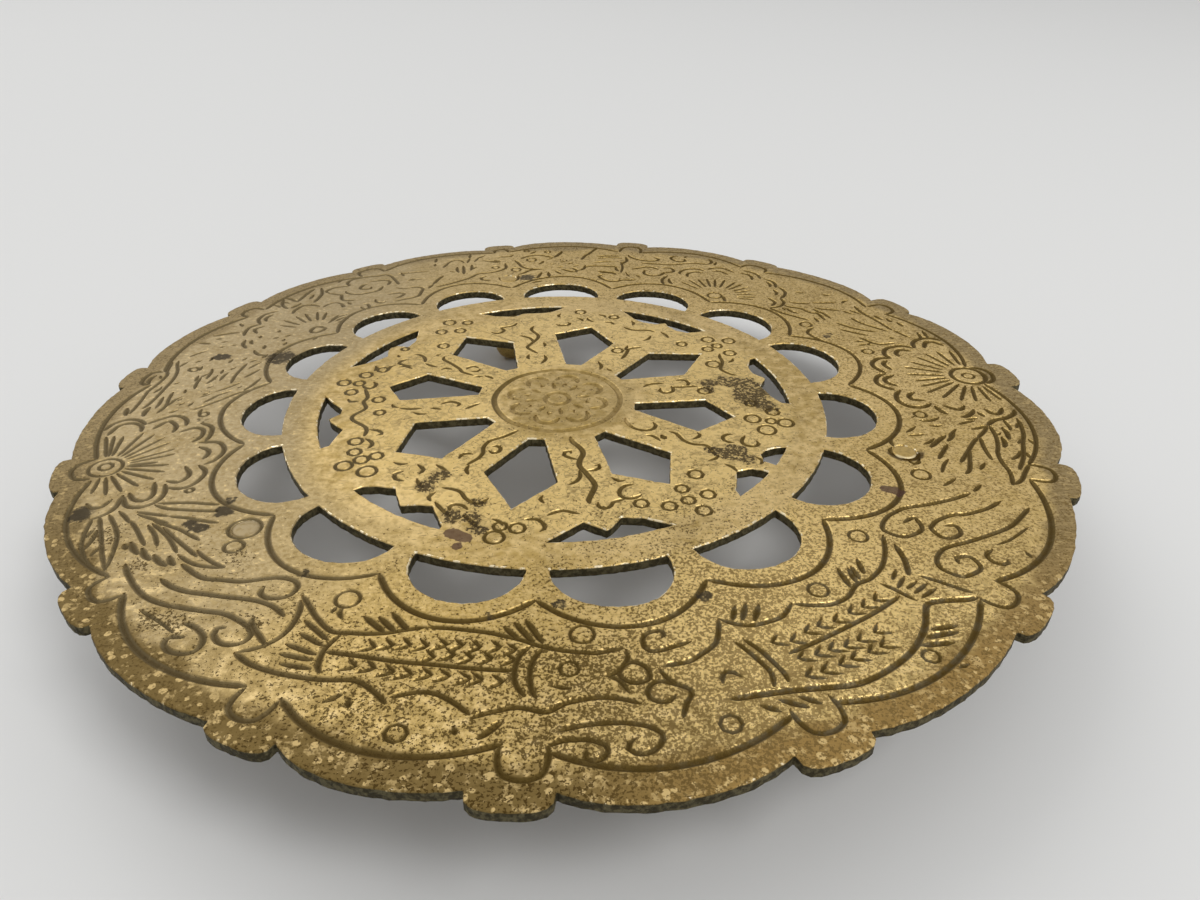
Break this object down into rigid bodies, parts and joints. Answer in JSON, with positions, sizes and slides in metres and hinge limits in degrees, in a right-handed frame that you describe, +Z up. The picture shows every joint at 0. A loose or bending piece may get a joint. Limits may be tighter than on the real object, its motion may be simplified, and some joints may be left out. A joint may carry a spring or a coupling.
{
  "type": "trivet",
  "caption": "Round pierced and engraved metal trivet on riveted ball feet, holding a hot pot or dish clear of the table.",
  "frame": {"origin": "on the table under the middle of the plate's outline, at the level the feet stand on", "axes": "+Z up, +X to the right and +Y away from someone facing the front edge; the back foot points to +Y"},
  "size_m": [0.178, 0.1792, 0.0214],
  "materials": {
    "engraved_brass": "aged, hand engraved, patina in the cuts, browner towards the rim",
    "turned_brass": "aged, turned, darker than the plate"
  },
  "bodies": {
    "root": {"plate": "engraved_brass", "right_foot": "turned_brass", "back_foot": "turned_brass", "left_foot": "turned_brass"}
  },
  "joints": []
}
